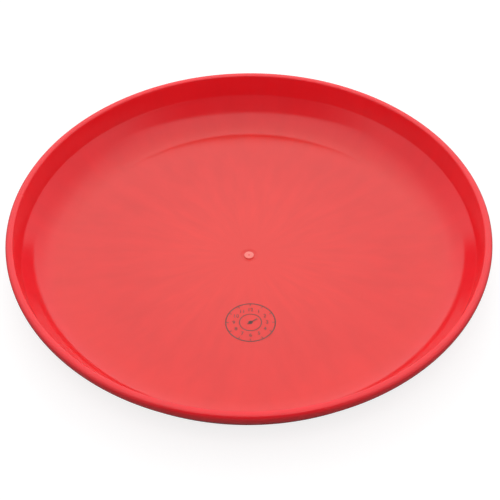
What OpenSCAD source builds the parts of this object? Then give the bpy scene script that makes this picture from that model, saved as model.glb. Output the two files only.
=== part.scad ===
// Flying disc, moulded in one piece, lying on its crown with the open side up.
// The origin is the centre of the flight plate's outer face; +Z is the disc's axis.

/* [Disc] */
// Outside diameter over the rim
disc_d = 215; // [180:1:270]
// Height from the outer face of the flight plate to the top of the lip
disc_h = 22.5; // [18:0.5:30]
// Thickness of the flight plate and of the curved shoulder
wall_t = 1.4; // [1:0.1:2]

/* [Rim] */
// Thickness of the rim at the lip
rim_t = 3.5; // [3:0.1:4.5]
// Radius of the outer curve that runs from the lip down towards the shoulder
rim_curve_r = 8.2; // [6:0.1:10]
// Radius of the lip's outer corner
lip_outer_r = 1.6; // [1:0.1:2]
// Radius of the lip's inner corner
lip_inner_r = 0.4; // [0.2:0.1:0.6]

/* [Gate] */
// Diameter of the shallow well round the moulding gate
well_d = 7.2; // [6:0.1:9]
// Depth of the well below the plate's inner face
well_depth = 0.35; // [0.2:0.05:0.5]
// Diameter of the gate button in the middle of the well
button_d = 4.6; // [3:0.1:5]
// Height of the button above the plate's inner face
button_rise = 0.2; // [0.1:0.05:0.4]
// Diameter of the witness dimple in the middle of the button
dimple_d = 0.9; // [0.5:0.1:1.2]

/* [Hidden] */

$fn = 240;
eps = 0.01;

disc_r = disc_d / 2;
bore_r = disc_r - rim_t;                          // inner face of the rim
shoulder_in_r = disc_h - wall_t - lip_inner_r;    // the shoulder's inner arc ends under the lip's corner
shoulder_out_r = shoulder_in_r + wall_t;
plate_r = bore_r - shoulder_in_r;                 // where the flat plate ends and the shoulder starts
well_slope = well_depth;                          // the well's wall leans out at 45 degrees
dimple_depth = 0.15;
button_edge_r = 0.15;

// Centres of the two arcs that shape the outside, as [radius, height]
shoulder_c = [plate_r, shoulder_out_r];
rim_c = [disc_r - rim_curve_r, disc_h - lip_outer_r];

// Direction, measured from the horizontal, of the outside normal along the straight stretch
// that touches both arcs
centre_gap = norm(rim_c - shoulder_c);
centre_dir = atan2(rim_c[1] - shoulder_c[1], rim_c[0] - shoulder_c[0]);
tangent_dir = centre_dir - acos((shoulder_out_r - rim_curve_r) / centre_gap);

function polar(r, a) = [r * cos(a), r * sin(a)];

shoulder_touch = shoulder_c + polar(shoulder_out_r, tangent_dir);
rim_touch = rim_c + polar(rim_curve_r, tangent_dir);

// A sector of a ring or disc about centre c, kept between two directions less than 180 degrees apart
module sector(c, r, from, to) {
    reach = 2 * r;
    translate(c) intersection() {
        circle(r);
        polygon([[0, 0], polar(reach, from), polar(reach * 1.5, (from + to) / 2), polar(reach, to)]);
    }
}

// Everything inside the outer surface, up to the lip
module outer_outline() {
    square([plate_r, disc_h]);
    sector(shoulder_c, shoulder_out_r, -90, tangent_dir);
    polygon([[plate_r - eps, 0], shoulder_c, shoulder_touch, rim_touch, rim_c,
             [disc_r - rim_curve_r, disc_h], [plate_r - eps, disc_h]]);
    sector(rim_c, rim_curve_r, tangent_dir, 0);
    translate([disc_r - lip_outer_r, disc_h - lip_outer_r]) intersection() {
        circle(lip_outer_r);
        square(lip_outer_r);
    }
    translate([disc_r - rim_curve_r - eps, disc_h - lip_outer_r])
        square([rim_curve_r - lip_outer_r + eps, lip_outer_r]);
}

// The open bowl: flat plate, quarter-round shoulder and the rim's inner face
module bowl_outline() {
    translate([0, wall_t]) square([plate_r, disc_h]);
    translate([plate_r, wall_t + shoulder_in_r]) intersection() {
        circle(shoulder_in_r);
        translate([-eps, -shoulder_in_r]) square([shoulder_in_r + eps, shoulder_in_r]);
    }
    translate([0, wall_t + shoulder_in_r]) square([bore_r, disc_h]);
    // The lip's inner corner, rounded outwards
    translate([bore_r, disc_h - lip_inner_r]) difference() {
        square([lip_inner_r, lip_inner_r + eps]);
        translate([lip_inner_r, 0]) circle(lip_inner_r);
    }
}

// Well round the gate, with its sloping wall
module well_outline() {
    polygon([[0, wall_t - well_depth], [well_d / 2 - well_slope, wall_t - well_depth],
             [well_d / 2, wall_t], [well_d / 2, wall_t + eps], [0, wall_t + eps]]);
}

// Gate button, from inside the plate to its softened top edge, less the witness dimple
module button_outline() {
    top = wall_t + button_rise;
    difference() {
        union() {
            translate([0, wall_t / 2]) square([button_d / 2, wall_t / 2 + button_rise - button_edge_r]);
            translate([0, wall_t / 2]) square([button_d / 2 - button_edge_r, wall_t / 2 + button_rise]);
            translate([button_d / 2 - button_edge_r, top - button_edge_r]) circle(button_edge_r);
        }
        polygon([[0, top - dimple_depth], [dimple_d / 2, top], [dimple_d / 2, top + eps], [0, top + eps]]);
    }
}

// The whole disc: one moulding
module disc_moulding() {
    color("#f0333a") rotate_extrude() {
        difference() {
            outer_outline();
            bowl_outline();
            well_outline();
        }
        button_outline();
    }
}

disc_moulding();
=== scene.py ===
"""A moulded flying disc lying on its crown, open side up, on a plain pale floor."""
import math

import bmesh
import bpy
from mathutils import Matrix, Vector


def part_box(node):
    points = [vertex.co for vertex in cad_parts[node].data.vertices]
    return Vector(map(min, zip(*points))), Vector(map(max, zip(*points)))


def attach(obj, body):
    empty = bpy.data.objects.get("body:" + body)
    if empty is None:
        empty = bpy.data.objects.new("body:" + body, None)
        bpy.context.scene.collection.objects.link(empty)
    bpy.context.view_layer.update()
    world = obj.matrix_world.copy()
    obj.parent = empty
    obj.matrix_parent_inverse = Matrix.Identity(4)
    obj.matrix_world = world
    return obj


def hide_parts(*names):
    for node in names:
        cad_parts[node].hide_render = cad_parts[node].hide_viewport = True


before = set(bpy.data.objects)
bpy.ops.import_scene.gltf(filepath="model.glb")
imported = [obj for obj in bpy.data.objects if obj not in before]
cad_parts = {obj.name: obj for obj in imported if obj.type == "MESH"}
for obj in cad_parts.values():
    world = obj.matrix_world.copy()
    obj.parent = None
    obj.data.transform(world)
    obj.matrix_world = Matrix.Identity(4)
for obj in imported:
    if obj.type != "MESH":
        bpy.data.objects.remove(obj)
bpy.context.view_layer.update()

MM = 0.001

# The disc's own measures, taken from its node at rest
DISC_LOW, DISC_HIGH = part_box("disc_moulding")
DISC_R = DISC_HIGH.x
DISC_H = DISC_HIGH.z
LIP_CENTRE = Vector((0, 0, DISC_H))
PLATE_TOP = 1.4 * MM
PLATE_EDGE_R = 83.3 * MM
RIM_INSIDE_R = 101.0 * MM

# Ink dial on the plate's inner face, between the gate and the rim
DIAL_CENTRE = Vector((0.4, -40.5, 0)) * MM
DIAL_R = 11.0 * MM
INK_FILM = 0.03 * MM

# Steps round the shell, and the bend inside its rim: radius, height, slope of the cone below it in
# degrees, and radius of the shoulder's inner arc
SHELL_STEPS = 288
BEND_R, BEND_Z, CONE_SLOPE, INNER_ARC_R = 101.7, 12.5, 48.5, 19.06

# Studio: how far the floor is lifted to white, the lamps' brightness, and the share of the
# surrounding light that falls on matt surfaces
FLOOR_LIFT = 0.80
KEY = 2.0
FILL = 2.2
WORLD_DIFFUSE = 0.55
# Brightness round the disc, from the horizon behind it, over the top, to the horizon in front:
# (share of 180 degrees, strength), and the brightness to either side
STUDIO_ARC = ((0.0, 1.5), (0.18, 1.9), (0.26, 2.1), (0.34, 1.9),
              (0.5, 1.9), (0.64, 1.8), (0.69, 0.25), (1.0, 0.08))
STUDIO_SIDE = 1.1


# ---------------------------------------------------------------- node helpers

def add(tree, kind, **settings):
    """A node of one kind, with its settings."""
    item = tree.nodes.new(kind)
    for key, value in settings.items():
        setattr(item, key, value)
    return item


def feed(tree, socket, value):
    """A link or a plain value into one socket."""
    if isinstance(value, bpy.types.NodeSocket):
        tree.links.new(value, socket)
    else:
        socket.default_value = value


def calc(tree, operation, *values, clamp=False):
    """A Math node over one, two or three values."""
    item = add(tree, "ShaderNodeMath", operation=operation, use_clamp=clamp)
    for socket, value in zip(item.inputs, values):
        feed(tree, socket, value)
    return item.outputs[0]


def step_up(tree, value, low, high, start=0.0, end=1.0):
    """A smooth step from start to end while the value goes from low to high."""
    item = add(tree, "ShaderNodeMapRange", interpolation_type="SMOOTHSTEP")
    feed(tree, item.inputs["Value"], value)
    for name, number in (("From Min", low), ("From Max", high), ("To Min", start), ("To Max", end)):
        feed(tree, item.inputs[name], number)
    return item.outputs["Result"]


def blend_colour(tree, factor, first, second):
    """Two colours mixed by a factor."""
    item = add(tree, "ShaderNodeMix", data_type="RGBA")
    feed(tree, item.inputs[0], factor)
    feed(tree, item.inputs[6], first)
    feed(tree, item.inputs[7], second)
    return item.outputs[2]


def noise(tree, vector, scale, detail=3.0, roughness=0.5, distortion=0.0):
    """Noise between 0 and 1."""
    item = add(tree, "ShaderNodeTexNoise")
    feed(tree, item.inputs["Vector"], vector)
    for name, number in (("Scale", scale), ("Detail", detail), ("Roughness", roughness),
                         ("Distortion", distortion)):
        item.inputs[name].default_value = number
    return item.outputs["Fac"]


def new_group(name, inputs, outputs):
    """An empty shader group with named sockets."""
    tree = bpy.data.node_groups.new(name, "ShaderNodeTree")
    for label, kind, value in inputs:
        socket = tree.interface.new_socket(label, in_out="INPUT", socket_type=kind)
        socket.default_value = value
    for label, kind in outputs:
        tree.interface.new_socket(label, in_out="OUTPUT", socket_type=kind)
    return tree, add(tree, "NodeGroupInput").outputs, add(tree, "NodeGroupOutput").inputs


def use_group(tree, group, **values):
    """One use of a group in a material, with its own values."""
    item = add(tree, "ShaderNodeGroup", node_tree=group)
    for name, value in values.items():
        feed(tree, item.inputs[name.replace("_", " ")], value)
    return item.outputs


FLOAT = "NodeSocketFloat"
COLOUR = "NodeSocketColor"


def where_on_disc(tree):
    """Object position, with its distance from the axis."""
    place = add(tree, "ShaderNodeTexCoord").outputs["Object"]
    parts = add(tree, "ShaderNodeSeparateXYZ")
    feed(tree, parts.inputs[0], place)
    across = calc(tree, "MULTIPLY", parts.outputs["X"], parts.outputs["X"])
    along = calc(tree, "MULTIPLY", parts.outputs["Y"], parts.outputs["Y"])
    radius = calc(tree, "SQRT", calc(tree, "ADD", across, along))
    return place, parts.outputs, radius


# ---------------------------------------------------------------- shared effects

def make_flow_marks():
    """Faint streaks that run out from the gate, as the melt did."""
    tree, given, out = new_group(
        "flow_marks", [("Fineness", FLOAT, 9.0), ("Strength", FLOAT, 1.0)], [("Mask", FLOAT)])
    parts, radius = where_on_disc(tree)[1:]
    outward = add(tree, "ShaderNodeCombineXYZ")
    safe = calc(tree, "MAXIMUM", radius, 0.001)
    feed(tree, outward.inputs["X"], calc(tree, "DIVIDE", parts["X"], safe))
    feed(tree, outward.inputs["Y"], calc(tree, "DIVIDE", parts["Y"], safe))
    feed(tree, outward.inputs["Z"], calc(tree, "MULTIPLY", radius, 6.0))
    item = add(tree, "ShaderNodeTexNoise")
    feed(tree, item.inputs["Vector"], outward.outputs[0])
    feed(tree, item.inputs["Scale"], given["Fineness"])
    item.inputs["Detail"].default_value = 4.0
    streak = calc(tree, "SUBTRACT", item.outputs["Fac"], 0.5)
    reach = step_up(tree, radius, 0.004, 0.03)
    feed(tree, out["Mask"],
         calc(tree, "MULTIPLY", calc(tree, "MULTIPLY", streak, reach), given["Strength"]))
    return tree


def make_handling_wear():
    """Hairline scuffs and dull patches, more of them where the disc meets hands and ground."""
    tree, given, out = new_group(
        "handling_wear", [("Amount", FLOAT, 0.5), ("Scale", FLOAT, 60.0)],
        [("Scuff", FLOAT), ("Dull", FLOAT)])
    place = add(tree, "ShaderNodeTexCoord").outputs["Object"]
    strands = []
    for turn, stretch in ((0.6, 14.0), (2.1, 11.0)):
        bend = add(tree, "ShaderNodeMapping")
        feed(tree, bend.inputs["Vector"], place)
        bend.inputs["Rotation"].default_value = (0.2, 0.1, turn)
        bend.inputs["Scale"].default_value = (1.0, stretch, stretch)
        item = add(tree, "ShaderNodeTexNoise")
        feed(tree, item.inputs["Vector"], bend.outputs[0])
        feed(tree, item.inputs["Scale"], given["Scale"])
        item.inputs["Detail"].default_value = 2.0
        item.inputs["Distortion"].default_value = 0.4
        strands.append(step_up(tree, item.outputs["Fac"], 0.70, 0.76))
    lines = calc(tree, "MAXIMUM", strands[0], strands[1])
    patches = step_up(tree, noise(tree, place, 22.0, 4.0, 0.6), 0.42, 0.68)
    scuffs = calc(tree, "MULTIPLY", lines, patches)
    feed(tree, out["Scuff"], calc(tree, "MULTIPLY", scuffs, given["Amount"]))
    feed(tree, out["Dull"], calc(tree, "MULTIPLY", patches, given["Amount"]))
    return tree


def make_moulded_grain():
    """The slight unevenness of a polished mould's skin, as a height."""
    tree, given, out = new_group(
        "moulded_grain", [("Fine", FLOAT, 900.0), ("Broad", FLOAT, 45.0)], [("Height", FLOAT)])
    place = add(tree, "ShaderNodeTexCoord").outputs["Object"]
    heights = []
    for name, weight in (("Fine", 0.12), ("Broad", 0.88)):
        item = add(tree, "ShaderNodeTexNoise")
        feed(tree, item.inputs["Vector"], place)
        feed(tree, item.inputs["Scale"], given[name])
        item.inputs["Detail"].default_value = 2.0
        heights.append(calc(tree, "MULTIPLY", item.outputs["Fac"], weight))
    feed(tree, out["Height"], calc(tree, "ADD", heights[0], heights[1]))
    return tree


FLOW_MARKS = make_flow_marks()
HANDLING_WEAR = make_handling_wear()
MOULDED_GRAIN = make_moulded_grain()


# ---------------------------------------------------------------- finishes

PLATE_RED = (0.80, 0.024, 0.020, 1)
# Painted light: the paler red laid round the plate's centre
PLATE_PAINTED_LIGHT = (0.86, 0.034, 0.026, 1)
RIM_RED = (0.92, 0.016, 0.026, 1)
GATE_PINK = (1.0, 0.24, 0.21, 1)
SCUFF_PINK = (0.95, 0.12, 0.11, 1)


def red_polypropylene():
    """Translucent red, crimson where the rim is thick, with painted light: the plate paler round its
    centre.
    """
    material = bpy.data.materials.new("red_polypropylene")
    material.use_nodes = True
    tree = material.node_tree
    shader = tree.nodes["Principled BSDF"]
    place, parts, radius = where_on_disc(tree)

    # Painted light: the plate is made paler round its centre, fading out by 75 mm from the axis
    painted_centre_light = step_up(tree, radius, 0.015, 0.075, 1.0, 0.0)
    colour = blend_colour(tree, painted_centre_light, PLATE_RED, PLATE_PAINTED_LIGHT)
    thick = step_up(tree, radius, PLATE_EDGE_R, RIM_INSIDE_R)
    colour = blend_colour(tree, thick, colour, RIM_RED)

    flow = use_group(tree, FLOW_MARKS, Fineness=9.0, Strength=0.5)["Mask"]
    cloud = calc(tree, "SUBTRACT", noise(tree, place, 30.0, 4.0, 0.55), 0.5)
    uneven = calc(tree, "ADD", flow, calc(tree, "MULTIPLY", cloud, 0.22))
    shade = add(tree, "ShaderNodeHueSaturation")
    feed(tree, shade.inputs["Color"], colour)
    feed(tree, shade.inputs["Value"], calc(tree, "ADD", calc(tree, "MULTIPLY", uneven, 0.35), 1.0))
    colour = shade.outputs[0]

    in_button = step_up(tree, radius, 0.0019, 0.0024, 1.0, 0.0)
    not_pip = step_up(tree, radius, 0.0003, 0.0006, 0.35, 1.0)
    above = step_up(tree, parts["Z"], 0.8 * MM, 1.2 * MM)
    blush = calc(tree, "MULTIPLY", calc(tree, "MULTIPLY", in_button, not_pip), above)
    colour = blend_colour(tree, calc(tree, "MULTIPLY", blush, 0.9), colour, GATE_PINK)

    wear = use_group(tree, HANDLING_WEAR, Amount=0.35, Scale=60.0)
    lip = step_up(tree, parts["Z"], 20.5 * MM, 22.3 * MM)
    crown = step_up(tree, parts["Z"], 0.02 * MM, 0.3 * MM, 1.0, 0.0)
    touched = calc(tree, "ADD", calc(tree, "MULTIPLY", calc(tree, "MAXIMUM", lip, crown), 0.85), 0.15)
    scuff = calc(tree, "MULTIPLY", wear["Scuff"], touched)
    feed(tree, shader.inputs["Base Color"], blend_colour(tree, scuff, colour, SCUFF_PINK))

    gloss = calc(tree, "ADD", calc(tree, "MULTIPLY", wear["Dull"], 0.10), 0.15)
    gloss = calc(tree, "ADD", gloss, calc(tree, "MULTIPLY", scuff, 0.30))
    feed(tree, shader.inputs["Roughness"], calc(tree, "ADD", gloss, calc(tree, "MULTIPLY", flow, 0.08)))

    bump = add(tree, "ShaderNodeBump")
    bump.inputs["Strength"].default_value = 0.10
    bump.inputs["Distance"].default_value = 0.05 * MM
    skin = use_group(tree, MOULDED_GRAIN, Fine=900.0, Broad=45.0)["Height"]
    feed(tree, bump.inputs["Height"], calc(tree, "SUBTRACT", skin, calc(tree, "MULTIPLY", scuff, 0.4)))
    feed(tree, shader.inputs["Normal"], bump.outputs[0])

    shader.inputs["IOR"].default_value = 1.49
    shader.inputs["Subsurface Weight"].default_value = 0.25
    shader.inputs["Subsurface Radius"].default_value = (1.0, 0.06, 0.08)
    shader.inputs["Subsurface Scale"].default_value = 3.0 * MM
    return material


def marking_ink():
    """Thin dark ink that lets a little of the red through."""
    material = bpy.data.materials.new("marking_ink")
    material.use_nodes = True
    tree = material.node_tree
    shader = tree.nodes["Principled BSDF"]
    place = add(tree, "ShaderNodeTexCoord").outputs["Object"]
    worn = step_up(tree, noise(tree, place, 900.0, 3.0, 0.6), 0.46, 0.72)
    colour = blend_colour(tree, calc(tree, "MULTIPLY", worn, 0.55),
                          (0.055, 0.030, 0.020, 1), (0.24, 0.028, 0.022, 1))
    feed(tree, shader.inputs["Base Color"], colour)
    feed(tree, shader.inputs["Roughness"], calc(tree, "ADD", calc(tree, "MULTIPLY", worn, 0.15), 0.32))
    bump = add(tree, "ShaderNodeBump")
    bump.inputs["Strength"].default_value = 0.15
    bump.inputs["Distance"].default_value = 0.01 * MM
    feed(tree, bump.inputs["Height"], worn)
    feed(tree, shader.inputs["Normal"], bump.outputs[0])
    return material


# ---------------------------------------------------------------- the ink dial

def finish_piece(name, mesh, material):
    """An object at the origin that rides on the disc."""
    mesh.materials.clear()
    mesh.materials.append(material)
    piece = bpy.data.objects.new(name, mesh)
    bpy.context.scene.collection.objects.link(piece)
    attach(piece, "root")
    return piece


def ring_of_ink(form, inner, outer, segments=96):
    """A closed flat ring, spun from its small square section."""
    low, high = PLATE_TOP - INK_FILM / 2, PLATE_TOP + INK_FILM
    square = ((inner, low), (outer, low), (outer, high), (inner, high))
    corners = [form.verts.new((r, 0, z)) for r, z in square]
    section = form.faces.new(corners)
    edges = list(section.edges)
    bmesh.ops.delete(form, geom=[section], context="FACES_ONLY")
    bmesh.ops.spin(form, geom=corners + edges, cent=(0, 0, 0), axis=(0, 0, 1),
                   angle=2 * math.pi, steps=segments, use_merge=True)


def stroke_of_ink(form, start, end, width):
    """A straight closed bar between two points."""
    made = bmesh.ops.create_cube(form, size=1.0)
    run = end - start
    middle = (start + end) / 2
    place = (Matrix.Translation((middle.x, middle.y, PLATE_TOP + INK_FILM / 4))
             @ Matrix.Rotation(math.atan2(run.y, run.x), 4, "Z")
             @ Matrix.Diagonal((run.length, width, INK_FILM * 1.5, 1)))
    bmesh.ops.transform(form, matrix=place, verts=made["verts"])


def number_of_ink(form, text, centre, height):
    """A plain number as a closed mesh, standing on its own centre."""
    curve = bpy.data.curves.new("number", "FONT")
    curve.body = text
    curve.size = height * 1.4
    curve.align_x, curve.align_y = "CENTER", "CENTER"
    curve.extrude = INK_FILM * 0.75
    curve.resolution_u = 4
    helper = bpy.data.objects.new("number", curve)
    mesh = bpy.data.meshes.new_from_object(helper)
    mesh.transform(Matrix.Translation((centre.x, centre.y, PLATE_TOP + INK_FILM / 4)))
    form.from_mesh(mesh)
    bpy.data.objects.remove(helper)
    bpy.data.meshes.remove(mesh)
    bpy.data.curves.remove(curve)


def make_dial():
    """A plain month dial: two rings, twelve ticks, twelve numbers and a short pointer."""
    form = bmesh.new()
    ring_of_ink(form, DIAL_R - 0.45 * MM, DIAL_R)
    ring_of_ink(form, 4.6 * MM, 4.95 * MM, 64)
    for month in range(12):
        turn = math.radians(90 - 30 * (month + 1))
        out = Vector((math.cos(turn), math.sin(turn), 0))
        stroke_of_ink(form, out * (DIAL_R - 1.5 * MM), out * (DIAL_R - 0.4 * MM), 0.3 * MM)
        number_of_ink(form, str(month + 1), out * 7.25 * MM, 1.9 * MM)
    aim = math.radians(35)
    tip = Vector((math.cos(aim), math.sin(aim), 0))
    stroke_of_ink(form, tip * -1.6 * MM, tip * 3.6 * MM, 0.5 * MM)
    ring_of_ink(form, 0.35 * MM, 0.95 * MM, 32)
    bmesh.ops.remove_doubles(form, verts=form.verts, dist=0.0005 * MM)
    bmesh.ops.recalc_face_normals(form, faces=form.faces)
    bmesh.ops.translate(form, verts=form.verts, vec=DIAL_CENTRE)
    mesh = bpy.data.meshes.new("month_dial")
    form.to_mesh(mesh)
    form.free()
    return finish_piece("month_dial", mesh, marking_ink())


# ---------------------------------------------------------------- the moulding


def trace_arc(points, centre, radius, start, end, steps):
    """Points along an arc in the section plane, angles in degrees from the outward direction."""
    for index in range(steps + 1):
        turn = math.radians(start + (end - start) * index / steps)
        points.append((centre[0] + radius * math.cos(turn), centre[1] + radius * math.sin(turn)))


def section_of_disc():
    """The wall's section from the axis out along the crown, over the lip and back in, in millimetres."""
    outside_r, height, wall = 107.5, 22.5, 1.4
    plate_edge, shoulder_out, rim_curve, lip_out = 83.3, 22.1, 8.2, 1.6
    shoulder_c = (plate_edge, shoulder_out)
    rim_c = (outside_r - rim_curve, height - lip_out)
    gap = math.hypot(rim_c[0] - shoulder_c[0], rim_c[1] - shoulder_c[1])
    lean = math.degrees(math.atan2(rim_c[1] - shoulder_c[1], rim_c[0] - shoulder_c[0])
                        - math.acos((shoulder_out - rim_curve) / gap))
    points = [(r, 0.0) for r in (0.0, 12.0, 40.0, 70.0)]
    trace_arc(points, shoulder_c, shoulder_out, -90, lean, 28)
    trace_arc(points, rim_c, rim_curve, lean, 0, 14)
    trace_arc(points, (outside_r - lip_out, height - lip_out), lip_out, 0, 90, 10)
    lip_in, bore = 0.9, 104.0
    trace_arc(points, (bore + lip_in, height - lip_in), lip_in, 90, 163, 8)
    # The bend, eased by a point on either side, then the cone down to the shoulder's inner arc
    points += [(BEND_R + 0.12, BEND_Z + 0.45), (BEND_R, BEND_Z), (BEND_R - 0.35, BEND_Z - 0.40)]
    run = math.radians(CONE_SLOPE)
    foot = (plate_edge + INNER_ARC_R * math.sin(run), wall + INNER_ARC_R * (1 - math.cos(run)))
    for share in (0.35, 0.65):
        points.append((BEND_R + (foot[0] - BEND_R) * share, BEND_Z + (foot[1] - BEND_Z) * share))
    trace_arc(points, (plate_edge, wall + INNER_ARC_R), INNER_ARC_R, CONE_SLOPE - 90, -90, 24)
    # Plate, well, button and its dimple
    points += [(r, wall) for r in (70.0, 40.0, 12.0, 4.2)]
    points += [(3.6, wall), (3.25, wall - 0.35), (2.35, wall - 0.35), (2.3, wall - 0.3), (2.3, wall + 0.05)]
    trace_arc(points, (2.15, wall + 0.05), 0.15, 0, 90, 5)
    points += [(0.5, wall + 0.2), (0.45, wall + 0.2), (0.0, wall + 0.05)]
    return points


def make_shell(material):
    """The whole disc as one finely stepped solid of revolution."""
    form = bmesh.new()
    line = [form.verts.new((r * MM, 0, z * MM)) for r, z in section_of_disc()]
    edges = [form.edges.new(pair) for pair in zip(line[:-1], line[1:])]
    bmesh.ops.spin(form, geom=line + edges, cent=(0, 0, 0), axis=(0, 0, 1),
                   angle=2 * math.pi, steps=SHELL_STEPS, use_merge=True)
    bmesh.ops.remove_doubles(form, verts=form.verts, dist=0.0005 * MM)
    bmesh.ops.recalc_face_normals(form, faces=form.faces)
    for face in form.faces:
        face.smooth = True
    mesh = bpy.data.meshes.new("disc_shell")
    form.to_mesh(mesh)
    form.free()
    piece = finish_piece("disc_shell", mesh, material)
    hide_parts("disc_moulding")
    return piece


# ---------------------------------------------------------------- studio

def make_camera():
    """A long lens that looks down into the bowl."""
    elevation = math.radians(44.6)
    distance = 5.35 * DISC_R
    aim = LIP_CENTRE + Vector((0.45, 0, -17.7)) * MM
    data = bpy.data.cameras.new("camera")
    data.lens = 93.2
    data.sensor_width = 36
    data.clip_start, data.clip_end = 0.01, 100
    camera = bpy.data.objects.new("camera", data)
    bpy.context.scene.collection.objects.link(camera)
    camera.location = LIP_CENTRE + distance * Vector((0, -math.cos(elevation), math.sin(elevation)))
    look = (aim - camera.location).to_track_quat("-Z", "Y").to_matrix()
    level = Matrix.Rotation(math.radians(-0.437), 3, "Z")
    camera.rotation_euler = (look @ level).to_euler()
    bpy.context.scene.camera = camera


def make_floor():
    """A plain pale floor that shows white and keeps the disc's soft shadow."""
    form = bmesh.new()
    bmesh.ops.create_grid(form, x_segments=1, y_segments=1, size=4.0)
    bmesh.ops.translate(form, verts=form.verts, vec=(0, 0, -0.1 * MM))
    mesh = bpy.data.meshes.new("studio_floor")
    form.to_mesh(mesh)
    form.free()
    material = bpy.data.materials.new("studio_floor")
    material.use_nodes = True
    tree = material.node_tree
    tree.nodes.clear()
    matt = add(tree, "ShaderNodeBsdfDiffuse")
    matt.inputs["Color"].default_value = (0.30, 0.30, 0.30, 1)
    lift = add(tree, "ShaderNodeEmission")
    seen = add(tree, "ShaderNodeLightPath").outputs["Is Camera Ray"]
    feed(tree, lift.inputs["Strength"], calc(tree, "MULTIPLY", seen, FLOOR_LIFT))
    both = add(tree, "ShaderNodeAddShader")
    feed(tree, both.inputs[0], matt.outputs[0])
    feed(tree, both.inputs[1], lift.outputs[0])
    feed(tree, add(tree, "ShaderNodeOutputMaterial").inputs["Surface"], both.outputs[0])
    mesh.materials.append(material)
    floor = bpy.data.objects.new("studio_floor", mesh)
    bpy.context.scene.collection.objects.link(floor)


def make_world():
    """Soft light from behind and above, darker from the front."""
    scene = bpy.context.scene
    world = bpy.data.worlds.new("studio")
    scene.world = world
    world.use_nodes = True
    tree = world.node_tree
    tree.nodes.clear()
    parts = add(tree, "ShaderNodeSeparateXYZ")
    feed(tree, parts.inputs[0], add(tree, "ShaderNodeTexCoord").outputs["Generated"])
    turn = calc(tree, "ARCTAN2", parts.outputs["Z"], parts.outputs["Y"])
    share = calc(tree, "MAXIMUM", calc(tree, "DIVIDE", turn, math.pi), 0.0)
    ramp = add(tree, "ShaderNodeValToRGB")
    feed(tree, ramp.inputs[0], share)
    stops = ramp.color_ramp.elements
    while len(stops) < len(STUDIO_ARC):
        stops.new(0.5)
    for stop, (position, strength) in zip(stops, STUDIO_ARC):
        stop.position = position
        stop.color = (strength, strength, strength, 1)
    aside = step_up(tree, calc(tree, "ABSOLUTE", parts.outputs["X"]), 0.35, 0.95)
    arc = add(tree, "ShaderNodeMix", data_type="FLOAT")
    feed(tree, arc.inputs[0], aside)
    feed(tree, arc.inputs[2], ramp.outputs[0])
    feed(tree, arc.inputs[3], STUDIO_SIDE)
    seen = add(tree, "ShaderNodeLightPath").outputs["Is Camera Ray"]
    shown = add(tree, "ShaderNodeMix", data_type="FLOAT")
    feed(tree, shown.inputs[0], seen)
    matt = add(tree, "ShaderNodeLightPath").outputs["Is Diffuse Ray"]
    share_left = calc(tree, "SUBTRACT", 1.0, calc(tree, "MULTIPLY", matt, 1 - WORLD_DIFFUSE))
    feed(tree, shown.inputs[2], calc(tree, "MULTIPLY", arc.outputs[0], share_left))
    feed(tree, shown.inputs[3], 1.0)
    light = add(tree, "ShaderNodeBackground")
    feed(tree, light.inputs["Strength"], shown.outputs[0])
    feed(tree, add(tree, "ShaderNodeOutputWorld").inputs["Surface"], light.outputs[0])


def soft_lamp(name, place, aim, width, height, strength, glossy=True):
    """A rectangular softbox of a given brightness that faces a point."""
    data = bpy.data.lights.new(name, "AREA")
    data.shape = "RECTANGLE"
    data.size, data.size_y = width, height
    data.energy = strength * math.pi * width * height
    lamp = bpy.data.objects.new(name, data)
    bpy.context.scene.collection.objects.link(lamp)
    lamp.location = place
    lamp.rotation_euler = (Vector(aim) - Vector(place)).to_track_quat("-Z", "Y").to_euler()
    lamp.visible_glossy = glossy


make_shell(red_polypropylene())
make_dial()
make_floor()
make_world()
soft_lamp("back_softbox", (0, 0.38, 0.42), (0, 0.02, 0), 0.40, 0.25, KEY, glossy=False)
soft_lamp("front_fill", (0, -0.45, 0.75), (0, 0.08, 0.01), 0.5, 0.5, FILL, glossy=False)
make_camera()
bpy.context.scene.view_settings.view_transform = "Standard"
